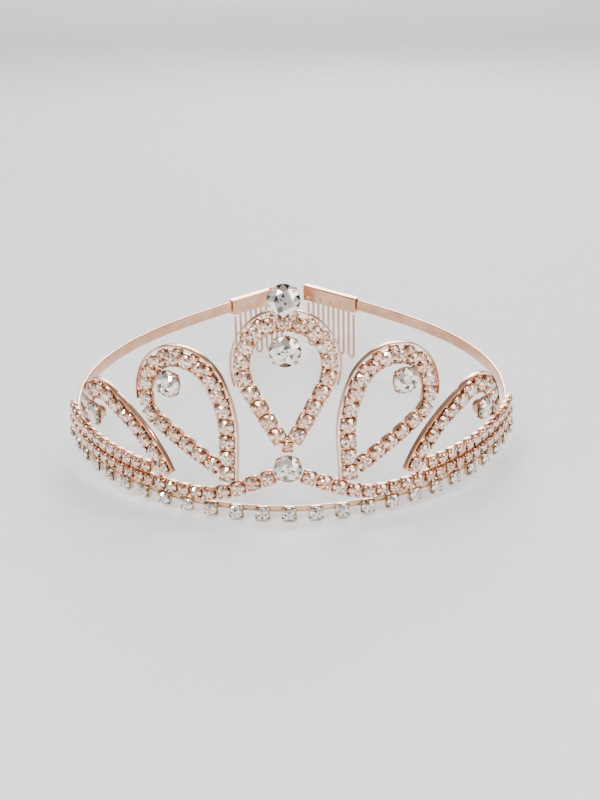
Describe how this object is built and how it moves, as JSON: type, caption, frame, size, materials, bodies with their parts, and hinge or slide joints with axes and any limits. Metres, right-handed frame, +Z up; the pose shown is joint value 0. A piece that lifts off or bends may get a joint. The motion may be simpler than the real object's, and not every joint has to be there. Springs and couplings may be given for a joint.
{
  "type": "bridal tiara",
  "caption": "Rose-gold tiara of open stone-set loops over a rhinestone base row, with springy side arms that end in wire hair combs.",
  "frame": {"origin": "centre of the box's underside: the plane the front cups and comb tips stand on", "axes": "+X to the viewer's right seen from the front, +Y from the front loops to the combs, +Z up"},
  "size_m": [0.124, 0.15, 0.0633],
  "materials": {
    "rose_gold": "polished rose-gold plating",
    "crystal_chain": "small cut stones in rose-gold cups",
    "crystal": "clear faceted stone with a foiled back"
  },
  "bodies": {
    "crown": {"base_rail": "rose_gold", "centre_loop_strip": "rose_gold", "crest_post": "rose_gold", "crest_setting": "rose_gold", "centre_drop_setting": "rose_gold", "cross_setting": "rose_gold", "left_inner_loop_strip": "rose_gold", "left_outer_loop_strip": "rose_gold", "left_inner_drop_setting": "rose_gold", "left_outer_drop_setting": "rose_gold", "right_inner_loop_strip": "rose_gold", "right_outer_loop_strip": "rose_gold", "right_inner_drop_setting": "rose_gold", "right_outer_drop_setting": "rose_gold", "base_stone_chain": "crystal_chain", "centre_loop_chain": "crystal_chain", "centre_foot_cup": "crystal_chain", "left_swoop_chain": "crystal_chain", "left_upper_band_chain": "crystal_chain", "left_inner_loop_chain": "crystal_chain", "left_outer_loop_chain": "crystal_chain", "right_swoop_chain": "crystal_chain", "right_upper_band_chain": "crystal_chain", "right_inner_loop_chain": "crystal_chain", "right_outer_loop_chain": "crystal_chain", "crest_stone": "crystal", "centre_drop_stone": "crystal", "cross_stone": "crystal", "left_inner_drop_stone": "crystal", "left_outer_drop_stone": "crystal", "right_inner_drop_stone": "crystal", "right_outer_drop_stone": "crystal"},
    "left_arm": {"left_arm": "rose_gold", "left_comb_spine": "rose_gold", "left_comb_teeth": "rose_gold"},
    "right_arm": {"right_arm": "rose_gold", "right_comb_spine": "rose_gold", "right_comb_teeth": "rose_gold"}
  },
  "joints": [
    {"name": "left_arm_flex", "type": "hinge", "parent": "crown", "child": "left_arm", "pos_m": [-0.05912, -0.01786, 0.00885], "axis": [0, -0.1258, 0.9921], "range_deg": [0, 8], "stiffness_Nm_per_rad": 0.5},
    {"name": "right_arm_flex", "type": "hinge", "parent": "crown", "child": "right_arm", "pos_m": [0.05912, -0.01786, 0.00885], "axis": [0, 0.1258, -0.9921], "range_deg": [0, 8], "stiffness_Nm_per_rad": 0.5}
  ]
}
